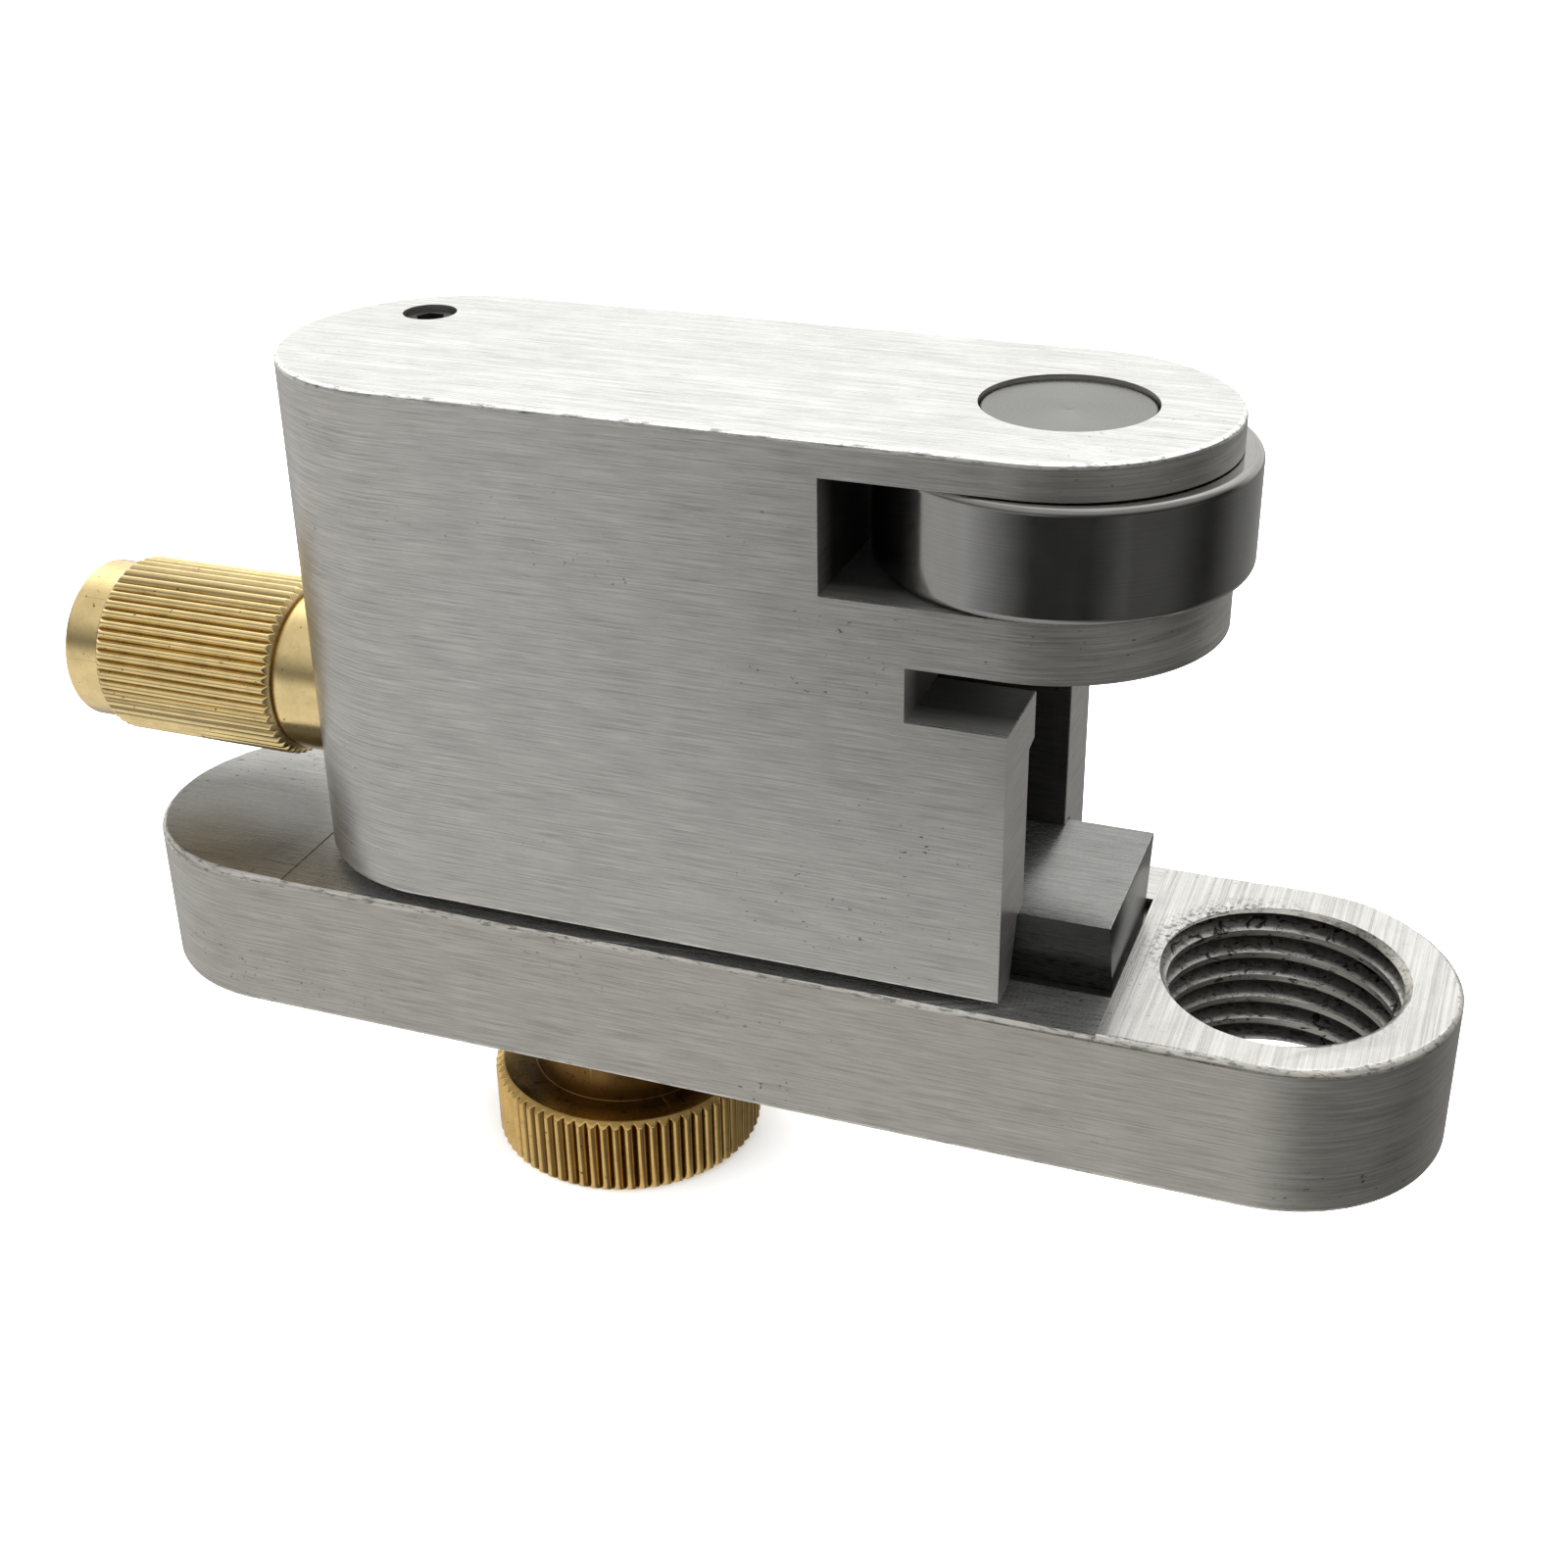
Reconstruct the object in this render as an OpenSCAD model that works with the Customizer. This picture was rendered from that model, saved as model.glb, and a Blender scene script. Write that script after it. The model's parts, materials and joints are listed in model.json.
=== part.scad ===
// Adjustable roller guide for a power tool nose.
// A base plate screws onto the tool by a coarse thread. A block with a ball-bearing roller
// stands on a guide bar, is moved along it by a brass knob, and the bar is clamped to the
// base plate by a brass thumb screw from below.
// Units are millimetres and +Z is up. The origin is the tool thread's axis at the underside
// of the base plate, and the guide runs along X.

/* [Base plate] */
// width of the plate and diameter of its round ends
base_w = 25; // [24.6:0.1:27]
// plate thickness
base_t = 12; // [11.6:0.1:14]
// distance between the centres of the two round ends
base_span = 80.5; // [80:0.5:90]
// chamfer on the plate's edges
base_edge = 0.4; // [0.2:0.05:0.6]
// depth of the skimmed middle part of the top face
relief_depth = 0.15; // [0.1:0.05:0.3]
// depth of the guide pocket below the skimmed face
pocket_depth = 0.85; // [0.5:0.05:1.2]
// width of the guide pocket
pocket_w = 14.4; // [14.0:0.1:16]

/* [Tool thread] */
// major diameter of the tool thread
thread_major_d = 19; // [18:0.5:19]
// pitch of the tool thread
thread_pitch = 2; // [1.5:0.5:2]
// depth of the chamfer at each mouth of the thread
thread_mouth = 0.5; // [0.4:0.05:0.6]

/* [Guide bar] */
// width of the bar's top face
bar_top_w = 14.7; // [14.3:0.1:15]
// width of the bar's bottom face
bar_bottom_w = 10.6; // [10:0.1:12]
// length of the bar
bar_l = 48.5; // [46:0.5:48.5]
// coarse travel of the bar in its pocket
coarse_travel = 12; // [8:1:12]
// length of the lug that stands on the bar
lug_l = 12; // [10:0.5:12]

/* [Block] */
// width of the block and diameter of its round ends
block_w = 24.8; // [24.6:0.1:25]
// height of the block
block_h = 39.9; // [39.9:0.1:42]
// gap between the block and the base plate
block_gap = 1; // [0.8:0.1:1]
// distance between the centres of the block's round ends
block_span = 45.46; // [45:0.1:45.5]
// height of the roller window
window_h = 8.2; // [8.2:0.05:8.25]
// chamfer on the block's top edge
block_edge = 0.4; // [0.2:0.05:0.6]

/* [Roller] */
// outside diameter of the roller bearing
roller_d = 26; // [25.6:0.1:26]
// bore of the roller bearing
roller_bore = 10; // [9.6:0.1:10]
// width of the roller bearing
roller_w = 8; // [7.9:0.05:8]
// diameter of the bearing balls
ball_d = 4.76; // [4.6:0.02:4.8]
// diameter of the roller pin's head
pin_head_d = 12; // [11.5:0.1:12.5]

/* [Brass knob and thumb screw] */
// outside diameter of the knob's knurl
knob_d = 14.3; // [14:0.1:14.6]
// number of teeth on the knob
knob_teeth = 50; // [40:1:60]
// diameter of the knob's journal in the block
journal_d = 13; // [12.6:0.1:13]
// pitch of the lead screw, which is the block's travel per turn of the knob
lead_pitch = 1; // [0.75:0.25:1.25]
// outside diameter of the thumb screw's knurl
thumb_d = 22; // [20:0.5:24]
// number of teeth on the thumb screw
thumb_teeth = 68; // [56:1:76]
// diameter of the thumb screw's boss
boss_d = 15.2; // [14:0.2:16]
// diameter of the thumb screw's stud
stud_d = 6; // [5:0.5:6]

/* [Hidden] */
$fn = 96;

// small overlap that carries a cut past a face
eps = 0.05;
// clearance of a running fit on the radius or on one side
run_fit = 0.05;

// base plate
base_r = base_w / 2;
base_left_x = -base_span;
relief_x0 = -76.3;
relief_x1 = -11.1;
relief_z = base_t - relief_depth;
pocket_z = relief_z - pocket_depth;
pocket_end_gap = 0.35;
pocket_x1 = relief_x1;

// tool thread, as rings with flat crests
thread_minor_r = thread_major_d / 2 - 0.5413 * thread_pitch;
thread_root_r = thread_major_d / 2;
thread_crest_w = thread_pitch / 4;
thread_root_w = thread_pitch / 8;
thread_mouth_r = thread_minor_r + thread_mouth;
thread_turns = floor((base_t - 2 * thread_mouth - thread_crest_w) / thread_pitch);
thread_first_z = (base_t - thread_turns * thread_pitch) / 2;

// guide bar and its lug
bar_x1 = pocket_x1 - pocket_end_gap;
bar_x0 = bar_x1 - bar_l;
bar_z0 = pocket_z + run_fit;
bar_z1 = 17.6;
pocket_x0 = bar_x0 - coarse_travel - 0.6;
stud_x = -52.9;
lug_w = 12.4;
lug_z1 = 29.9;
lug_x0 = stud_x - lug_l / 2;
lug_x1 = stud_x + lug_l / 2;

// block
block_r = block_w / 2;
block_x0 = -64.1;
block_x1 = block_x0 + block_span;
block_z0 = base_t + block_gap;
block_z1 = block_z0 + block_h;
cheek_x = -18.1;
notch_x = -25.2;
notch_z0 = 33.9;
notch_z1 = 37.9;
window_x = -31.2;
window_z0 = 42.2;
window_z1 = window_z0 + window_h;
slot_x0 = -64.3;
slot_w = 12.5;
slot_z1 = 30.1;
slot_neck_w = 9.7;
slot_neck_z0 = 30.4;
channel_top_w = 15.5;
channel_bottom_w = 19.4;
channel_z1 = bar_z1 + run_fit;
past = 20;

// roller
roller_x = -17.9;
roller_z = (window_z0 + window_z1) / 2;
roller_z0 = roller_z - roller_w / 2;
roller_z1 = roller_z + roller_w / 2;
ball_count = 7;
ball_r = ball_d / 2;
ball_pitch_r = (roller_d + roller_bore) / 4;
race_r = ball_r + 0.06;
outer_land_r = 11.1;
inner_land_r = 6.95;
ring_round = 0.6;
inner_round = 0.3;
shield_t = 0.3;
shield_inset = 0.25;
shield_gap = 0.35;
cage_t = 0.4;
cage_r0 = ball_pitch_r - 0.9;
cage_r1 = ball_pitch_r + 0.9;
rivet_r = 0.35;
rivet_head_r = 0.6;
rivet_head_t = 0.25;
shim_r = 6.8;
pin_head_z = block_z1 - 0.3;
pin_foot_z = notch_z1 + 0.2;
pin_edge = 0.25;

// fine adjustment
screw_z = 24.6;
knob_rim_x = -98.2;
knob_knurl_x0 = -95;
knob_knurl_x1 = -78.9;
knob_rim_r = 6.48;
knob_edge = 0.5;
knurl_depth = 0.38;
knurl_edge = 0.3;
journal_r = journal_d / 2;
journal_x1 = -65;
groove_x = -68.9;
groove_w = 3.7;
groove_r = 3.95;
lead_r = 3;
lead_core_r = 2.2;
lead_x0 = -76;
lead_x1 = -43;
lead_edge = 0.5;
nut_r = 4.5;
nut_flange_r = 5.2;
nut_flange_t = 1.2;

// retaining pin and its grub screw
retainer_y = 6.3;
retainer_r = 1.65;
retainer_z0 = 22.4;
retainer_z1 = 46.4;
grub_r = 2;
grub_z0 = 46.5;
grub_z1 = block_z1 - 0.4;
grub_socket_af = 2;
grub_socket_depth = 3;

// thumb screw
thumb_r = thumb_d / 2;
thumb_z0 = -13.35;
thumb_knurl_depth = 0.45;
thumb_face_z = -6.6;
thumb_bevel = 0.5;
boss_z1 = -run_fit;
stud_r = stud_d / 2;
stud_z0 = -11;
stud_z1 = 18.2;
stud_bore_z1 = 18.8;
stud_slot_r = stud_r + 0.35;

// Bar of trapezoid section along X, between x0 and x1: half widths y0 at z0 and y1 at z1.
module tapered_bar(x0, x1, z0, z1, y0, y1) {
    translate([x0, 0, 0])
        rotate([90, 0, 90])
            linear_extrude(height = x1 - x0)
                polygon([[-y0, z0], [y0, z0], [y1, z1], [-y1, z1]]);
}

// Upright disc with chamfered rims.
module edged_disc(r, z0, z1, edge0, edge1) {
    rotate_extrude()
        polygon([
            [0, z0], [r - edge0, z0], [r, z0 + edge0],
            [r, z1 - edge1], [r - edge1, z1], [0, z1]
        ]);
}

// Plate with round ends centred at x0 and x1, and chamfered edges.
module round_ended_plate(x0, x1, r, z0, z1, edge0, edge1) {
    for (x = [x0, x1])
        translate([x, 0, 0])
            edged_disc(r, z0, z1, edge0, edge1);
    translate([x0, 0, 0])
        rotate([90, 0, 90])
            linear_extrude(height = x1 - x0)
                polygon([
                    [-r + edge0, z0], [r - edge0, z0], [r, z0 + edge0], [r, z1 - edge1],
                    [r - edge1, z1], [-r + edge1, z1], [-r, z1 - edge1], [-r, z0 + edge0]
                ]);
}

// Box between two corners.
module span_box(a, b) {
    translate(a)
        cube(b - a);
}

// Straight knurl around Z: a star with one point to each tooth.
module knurl(r, depth, teeth, height) {
    step = 180 / teeth;
    linear_extrude(height = height)
        polygon([
            for (i = [0 : 2 * teeth - 1])
                let (tooth_r = i % 2 == 0 ? r : r - depth)
                [tooth_r * cos(i * step), tooth_r * sin(i * step)]
        ]);
}

// Knurled disc whose ends taper below the teeth.
module knurled_disc(r, depth, teeth, z0, z1, edge) {
    core_r = r - depth - eps;
    translate([0, 0, z0 + edge])
        knurl(r, depth, teeth, z1 - z0 - 2 * edge);
    edged_disc(core_r, z0, z1, edge, edge);
}

// Threaded hole through the plate: a bore at the crest with one groove to each turn.
module thread_cut() {
    groove_w0 = thread_pitch - thread_crest_w;
    translate([0, 0, -eps])
        cylinder(h = base_t + 2 * eps, r = thread_minor_r);
    for (i = [0 : thread_turns - 1])
        translate([0, 0, thread_first_z + (i + 0.5) * thread_pitch])
            rotate_extrude()
                polygon([
                    [thread_minor_r - 1, -groove_w0 / 2], [thread_minor_r, -groove_w0 / 2],
                    [thread_root_r, -thread_root_w / 2], [thread_root_r, thread_root_w / 2],
                    [thread_minor_r, groove_w0 / 2], [thread_minor_r - 1, groove_w0 / 2]
                ]);
    translate([0, 0, base_t - thread_mouth])
        cylinder(h = thread_mouth, r1 = thread_minor_r, r2 = thread_mouth_r);
    translate([0, 0, base_t])
        cylinder(h = 1, r = thread_mouth_r);
    cylinder(h = thread_mouth, r1 = thread_mouth_r, r2 = thread_minor_r);
    translate([0, 0, -1])
        cylinder(h = 1, r = thread_mouth_r);
}

// Plate that carries everything: tool thread, skimmed top, guide pocket and stud slot.
module base_plate() {
    slot_x_left = stud_x - coarse_travel;
    color([0.72, 0.72, 0.70])
        difference() {
            round_ended_plate(base_left_x, 0, base_r, 0, base_t, base_edge, base_edge);
            span_box([relief_x0, -past, relief_z], [relief_x1, past, base_t + 1]);
            span_box([pocket_x0, -pocket_w / 2, pocket_z], [pocket_x1, pocket_w / 2, base_t + 1]);
            for (x = [slot_x_left, stud_x])
                translate([x, 0, -1])
                    cylinder(h = base_t + 2, r = stud_slot_r);
            span_box([slot_x_left, -stud_slot_r, -1], [stud_x, stud_slot_r, base_t + 1]);
            thread_cut();
        }
}

// Bar that lies in the pocket, with the upright lug that holds the lead nut.
module guide_bar() {
    color([0.66, 0.67, 0.67])
        difference() {
            union() {
                tapered_bar(bar_x0, bar_x1, bar_z0, bar_z1, bar_bottom_w / 2, bar_top_w / 2);
                span_box([lug_x0, -lug_w / 2, bar_z1 - 1], [lug_x1, lug_w / 2, lug_z1]);
            }
            translate([lug_x0 - 1, 0, screw_z])
                rotate([0, 90, 0])
                    cylinder(h = lug_l + 2, r = nut_r);
            translate([stud_x, 0, bar_z0 - 1])
                cylinder(h = stud_bore_z1 - bar_z0 + 1, r = stud_r + run_fit);
        }
}

// Flanged bush that carries the lead thread.
module lead_nut() {
    color([0.75, 0.60, 0.33])
        difference() {
            union() {
                translate([lug_x0, 0, screw_z])
                    rotate([0, 90, 0])
                        cylinder(h = lug_l, r = nut_r);
                translate([lug_x1, 0, screw_z])
                    rotate([0, 90, 0])
                        cylinder(h = nut_flange_t, r = nut_flange_r);
            }
            translate([lug_x0 - 1, 0, screw_z])
                rotate([0, 90, 0])
                    cylinder(h = lug_l + nut_flange_t + 2, r = lead_r + run_fit);
        }
}

// Hollow that opens the block from below and from its right end: channel for the bar,
// slot for the lug, and a narrower slot above.
module block_hollow() {
    translate([slot_x0, 0, 0])
        rotate([90, 0, 90])
            linear_extrude(height = cheek_x - slot_x0 + past)
                polygon([
                    [-channel_bottom_w / 2, block_z0 - 1], [channel_bottom_w / 2, block_z0 - 1],
                    [channel_top_w / 2, channel_z1], [slot_w / 2, channel_z1],
                    [slot_w / 2, slot_z1], [slot_neck_w / 2, slot_neck_z0],
                    [slot_neck_w / 2, notch_z0 + eps], [-slot_neck_w / 2, notch_z0 + eps],
                    [-slot_neck_w / 2, slot_neck_z0], [-slot_w / 2, slot_z1],
                    [-slot_w / 2, channel_z1], [-channel_top_w / 2, channel_z1]
                ]);
}

// Block with the roller window, the notch below it and the bore for the knob.
module block() {
    color([0.70, 0.70, 0.68])
        difference() {
            round_ended_plate(block_x0, block_x1, block_r, block_z0, block_z1, 0.3, block_edge);
            intersection() {
                block_hollow();
                span_box([slot_x0 - 1, -past, block_z0 - 2], [past, past, notch_z0 + eps]);
            }
            span_box([cheek_x, -past, block_z0 - 1], [past, past, notch_z1]);
            span_box([notch_x, -past, notch_z0], [past, past, notch_z1]);
            span_box([window_x, -past, window_z0], [past, past, window_z1]);
            translate([roller_x, 0, window_z1 - 1])
                cylinder(h = block_z1 - window_z1 + 2, r = pin_head_d / 2);
            translate([roller_x, 0, notch_z1 - 1])
                cylinder(h = window_z0 - notch_z1 + 2, r = roller_bore / 2);
            translate([block_x0 - block_r - 1, 0, screw_z])
                rotate([0, 90, 0])
                    cylinder(h = slot_x0 - block_x0 + block_r + 1 + eps, r = journal_r + run_fit);
            translate([groove_x, retainer_y, retainer_z0 - 0.2])
                cylinder(h = block_z1 - retainer_z0 + 1, r = retainer_r);
            translate([groove_x, retainer_y, grub_z0 - 0.5])
                cylinder(h = block_z1 - grub_z0 + 1, r = grub_r);
        }
}

// Groove of the ball track around the bearing's axis.
module ball_track() {
    rotate_extrude()
        translate([ball_pitch_r, 0])
            circle(r = race_r);
}

// Bearing ring between radii r0 and r1, with rounded rims at the radius given.
module bearing_ring(r0, r1, round0, round1) {
    h = roller_w / 2;
    difference() {
        rotate_extrude()
            difference() {
                translate([r0, -h])
                    square([r1 - r0, 2 * h]);
                for (side = [-1, 1]) {
                    translate([r1 - round1, side * (h - round1)])
                        difference() {
                            translate([0, side > 0 ? 0 : -round1 - eps])
                                square([round1 + eps, round1 + eps]);
                            circle(r = round1);
                        }
                    translate([r0 + round0, side * (h - round0)])
                        difference() {
                            translate([-round0 - eps, side > 0 ? 0 : -round0 - eps])
                                square([round0 + eps, round0 + eps]);
                            circle(r = round0);
                        }
                }
            }
        ball_track();
    }
}

// Outer ring, the roller's running surface.
module roller_outer_ring() {
    color([0.52, 0.53, 0.54])
        translate([roller_x, 0, roller_z])
            bearing_ring(outer_land_r, roller_d / 2, 0.2, ring_round);
}

// Inner ring, held still on the pin.
module roller_inner_ring() {
    color([0.56, 0.57, 0.58])
        translate([roller_x, 0, roller_z])
            bearing_ring(roller_bore / 2, inner_land_r, inner_round, 0.2);
}

// Balls between the rings.
module roller_balls() {
    color([0.62, 0.63, 0.64])
        translate([roller_x, 0, roller_z])
            for (i = [0 : ball_count - 1])
                rotate([0, 0, i * 360 / ball_count])
                    translate([ball_pitch_r, 0, 0])
                        sphere(r = ball_r);
}

// One half of the riveted cage: a flat ribbon with a cup over each ball, above z = 0.
module cage_half() {
    difference() {
        intersection() {
            union() {
                cylinder(h = cage_t, r = cage_r1);
                for (i = [0 : ball_count - 1])
                    rotate([0, 0, i * 360 / ball_count])
                        translate([ball_pitch_r, 0, 0])
                            sphere(r = ball_r + run_fit + cage_t);
            }
            cylinder(h = roller_w, r = cage_r1);
        }
        translate([0, 0, -1])
            cylinder(h = roller_w, r = cage_r0);
        for (i = [0 : ball_count - 1])
            rotate([0, 0, i * 360 / ball_count])
                translate([ball_pitch_r, 0, 0])
                    sphere(r = ball_r + run_fit);
        cage_rivet_places()
            cylinder(h = 4 * cage_t, r = rivet_r, center = true);
    }
}

// One place between each two balls.
module cage_rivet_places() {
    for (i = [0 : ball_count - 1])
        rotate([0, 0, (i + 0.5) * 360 / ball_count])
            translate([ball_pitch_r, 0, 0])
                children();
}

// Upper half of the cage.
module roller_cage_upper() {
    color([0.66, 0.66, 0.66])
        translate([roller_x, 0, roller_z])
            cage_half();
}

// Lower half of the cage.
module roller_cage_lower() {
    color([0.66, 0.66, 0.66])
        translate([roller_x, 0, roller_z])
            mirror([0, 0, 1])
                cage_half();
}

// Rivets that join the two halves of the cage.
module roller_cage_rivets() {
    color([0.60, 0.60, 0.60])
        translate([roller_x, 0, roller_z])
            cage_rivet_places() {
                cylinder(h = 2 * cage_t, r = rivet_r, center = true);
                for (side = [-1, 1])
                    translate([0, 0, side * (cage_t + rivet_head_t / 2)])
                        cylinder(h = rivet_head_t, r = rivet_head_r, center = true);
            }
}

// Thin shield ring at height z above the bearing's middle.
module shield_at(z) {
    translate([roller_x, 0, roller_z + z])
        difference() {
            cylinder(h = shield_t, r = outer_land_r, center = true);
            cylinder(h = 2 * shield_t, r = inner_land_r + shield_gap, center = true);
        }
}

// Upper shield, pressed into the outer ring.
module roller_shield_upper() {
    color([0.50, 0.51, 0.52])
        shield_at(roller_w / 2 - shield_inset - shield_t / 2);
}

// Lower shield, pressed into the outer ring.
module roller_shield_lower() {
    color([0.50, 0.51, 0.52])
        shield_at(-roller_w / 2 + shield_inset + shield_t / 2);
}

// Shim washer between z0 and z1, around the pin.
module shim_between(z0, z1) {
    translate([roller_x, 0, z0])
        difference() {
            cylinder(h = z1 - z0, r = shim_r);
            translate([0, 0, -1])
                cylinder(h = z1 - z0 + 2, r = roller_bore / 2);
        }
}

// Shim that holds the outer ring clear of the upper lobe.
module roller_shim_upper() {
    color([0.58, 0.59, 0.60])
        shim_between(roller_z1, window_z1);
}

// Shim that holds the outer ring clear of the lower lobe.
module roller_shim_lower() {
    color([0.58, 0.59, 0.60])
        shim_between(window_z0, roller_z0);
}

// Stepped pin: wide head in the upper lobe, shank through the bearing and the lower lobe.
module roller_pin() {
    color([0.60, 0.61, 0.60])
        translate([roller_x, 0, 0]) {
            edged_disc(roller_bore / 2, pin_foot_z, window_z1 + eps, pin_edge, 0);
            edged_disc(pin_head_d / 2, window_z1, pin_head_z, 0, pin_edge);
        }
}

// Brass knob: plain rim, knurled barrel, and a journal with a groove for the retaining pin.
module adjusting_knob() {
    color([0.80, 0.66, 0.36])
        difference() {
            translate([0, 0, screw_z])
                rotate([0, 90, 0]) {
                    knurled_disc(knob_d / 2, knurl_depth, knob_teeth, knob_knurl_x0,
                                 knob_knurl_x1, knurl_edge);
                    edged_disc(knob_rim_r, knob_rim_x, knob_knurl_x0 + knob_edge, knob_edge, 0);
                    edged_disc(journal_r, knob_knurl_x1 - knob_edge, groove_x - groove_w / 2,
                               0, 0);
                    edged_disc(groove_r, groove_x - groove_w / 2 - eps,
                               groove_x + groove_w / 2 + eps, 0, 0);
                    edged_disc(journal_r, groove_x + groove_w / 2, journal_x1, 0, 0.3);
                }
            translate([lead_x0, 0, screw_z])
                rotate([0, 90, 0])
                    cylinder(h = journal_x1 - lead_x0 + 1, r = lead_core_r);
        }
}

// Steel lead screw, pressed into the knob's journal and running in the lead nut.
module lead_screw() {
    color([0.55, 0.56, 0.57])
        translate([0, 0, screw_z])
            rotate([0, 90, 0]) {
                edged_disc(lead_core_r, lead_x0, journal_x1 + eps, 0, 0);
                edged_disc(lead_r, journal_x1, lead_x1, 0, lead_edge);
            }
}

// Pin that stands in the journal's groove and keeps the knob in the block.
module retaining_pin() {
    color([0.58, 0.59, 0.60])
        translate([groove_x, retainer_y, 0])
            edged_disc(retainer_r, retainer_z0, retainer_z1, 0.3, 0.3);
}

// Black grub screw with a hexagon socket, over the retaining pin.
module grub_screw() {
    color([0.10, 0.10, 0.11])
        translate([groove_x, retainer_y, 0])
            difference() {
                edged_disc(grub_r, grub_z0, grub_z1, 0.4, 0.25);
                translate([0, 0, grub_z1 - grub_socket_depth])
                    cylinder(h = grub_socket_depth + 1, d = grub_socket_af / cos(30), $fn = 6);
            }
}

// Knurled brass head and boss of the thumb screw.
module thumb_screw_head() {
    color([0.62, 0.49, 0.25])
        translate([stud_x, 0, 0])
            difference() {
                union() {
                    knurled_disc(thumb_r, thumb_knurl_depth, thumb_teeth, thumb_z0, thumb_face_z,
                                 thumb_bevel);
                    edged_disc(boss_d / 2, thumb_face_z - thumb_bevel, boss_z1, 0, 0.2);
                }
                translate([0, 0, stud_z0])
                    cylinder(h = boss_z1 - stud_z0 + 1, r = stud_r);
            }
}

// Steel stud of the thumb screw, through the plate's slot and into the guide bar.
module thumb_screw_stud() {
    color([0.55, 0.56, 0.57])
        translate([stud_x, 0, 0])
            edged_disc(stud_r, stud_z0, stud_z1, 0, 0.5);
}

base_plate();
guide_bar();
lead_nut();
block();
roller_outer_ring();
roller_inner_ring();
roller_balls();
roller_cage_upper();
roller_cage_lower();
roller_cage_rivets();
roller_shield_upper();
roller_shield_lower();
roller_shim_upper();
roller_shim_lower();
roller_pin();
adjusting_knob();
lead_screw();
retaining_pin();
grub_screw();
thumb_screw_head();
thumb_screw_stud();
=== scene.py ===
import json
import math
import bmesh
import bpy
from mathutils import Matrix, Vector, noise


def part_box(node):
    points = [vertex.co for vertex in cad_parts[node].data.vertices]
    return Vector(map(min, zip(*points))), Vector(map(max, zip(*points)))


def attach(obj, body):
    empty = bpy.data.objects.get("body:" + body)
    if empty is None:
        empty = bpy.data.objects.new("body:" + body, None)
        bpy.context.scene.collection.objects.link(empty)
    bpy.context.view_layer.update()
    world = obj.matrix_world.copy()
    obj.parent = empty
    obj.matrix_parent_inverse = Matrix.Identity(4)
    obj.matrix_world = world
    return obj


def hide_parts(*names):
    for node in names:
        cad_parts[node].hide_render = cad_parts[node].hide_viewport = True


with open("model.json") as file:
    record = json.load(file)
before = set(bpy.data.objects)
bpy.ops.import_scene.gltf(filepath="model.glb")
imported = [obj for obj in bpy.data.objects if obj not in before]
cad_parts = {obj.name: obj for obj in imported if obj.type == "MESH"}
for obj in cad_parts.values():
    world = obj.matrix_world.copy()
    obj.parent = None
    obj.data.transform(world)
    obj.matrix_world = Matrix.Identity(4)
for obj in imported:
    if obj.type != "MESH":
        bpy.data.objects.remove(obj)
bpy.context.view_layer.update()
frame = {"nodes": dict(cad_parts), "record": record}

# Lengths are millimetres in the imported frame's axes until shown() scales a mesh to metres.
MM = 0.001
TURN = 2 * math.pi
# Lays a piece that was built around Z along X.
TO_X = Matrix(((0, 0, 1), (0, 1, 0), (-1, 0, 0))).to_4x4()

# Strength of the light tent: in front on the left, in front on the right, behind and overhead.
WORLD_FRONT = 0.77
WORLD_DARK = 0.15
WORLD_BACK = 0.98
WORLD_TOP = 0.62

# The overhead light.
LIGHT_PLACE = (-20, 100, 500)
LIGHT_TARGET = (-40, 0, 30)
LIGHT_SIZE = 500
LIGHT_POWER = 0.4

# The floor glows less near the thumb screw than far from it: a painted soft shadow round the thumb
# screw.
FLOOR_PAINTED_SHADOW = 0.12
FLOOR_FAR = 0.80
FLOOR_PAINTED_SHADOW_R = 12.0
FLOOR_FAR_R = 42.0
FLOOR_FLAT_R = 700
FLOOR_BEND_R = 500
FLOOR_WALL_Z = 1800

# The card stands upright along X, low in front of the part, and puts a painted dark reflection into the
# roller.
CARD_X0 = -95
CARD_X1 = 75
CARD_Y = -78
CARD_Z0 = -8
CARD_Z1 = 46

# The camera stands in front of the part's right end, and looks down and to the left.
CAMERA_PLACE = (13.7, -137.4, 98.95)
CAMERA_AZIMUTH = 20.8
CAMERA_ELEVATION = 28.0
CAMERA_ROLL = -0.97
CAMERA_LENS = 50.4
CAMERA_SENSOR = 36.0


# ---------------------------------------------------------------- places taken from the frame

class Span:
    """Box of a CAD node in millimetres."""

    def __init__(self, node):
        lo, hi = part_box(node)
        self.lo = lo / MM
        self.hi = hi / MM
        self.mid = (self.lo + self.hi) / 2
        self.size = self.hi - self.lo


plate = Span("base_plate")
bar = Span("guide_bar")
block = Span("block")
ring = Span("roller_outer_ring")
pin = Span("roller_pin")
shim_top = Span("roller_shim_upper")
shim_low = Span("roller_shim_lower")
knob = Span("adjusting_knob")
lead = Span("lead_screw")
retainer = Span("retaining_pin")
grub = Span("grub_screw")
thumb = Span("thumb_screw_head")
stud = Span("thumb_screw_stud")
mount = frame["record"]["mounts"][0]

# Tools of a boolean reach this far past the guide.
PAST = 20.0

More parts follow.
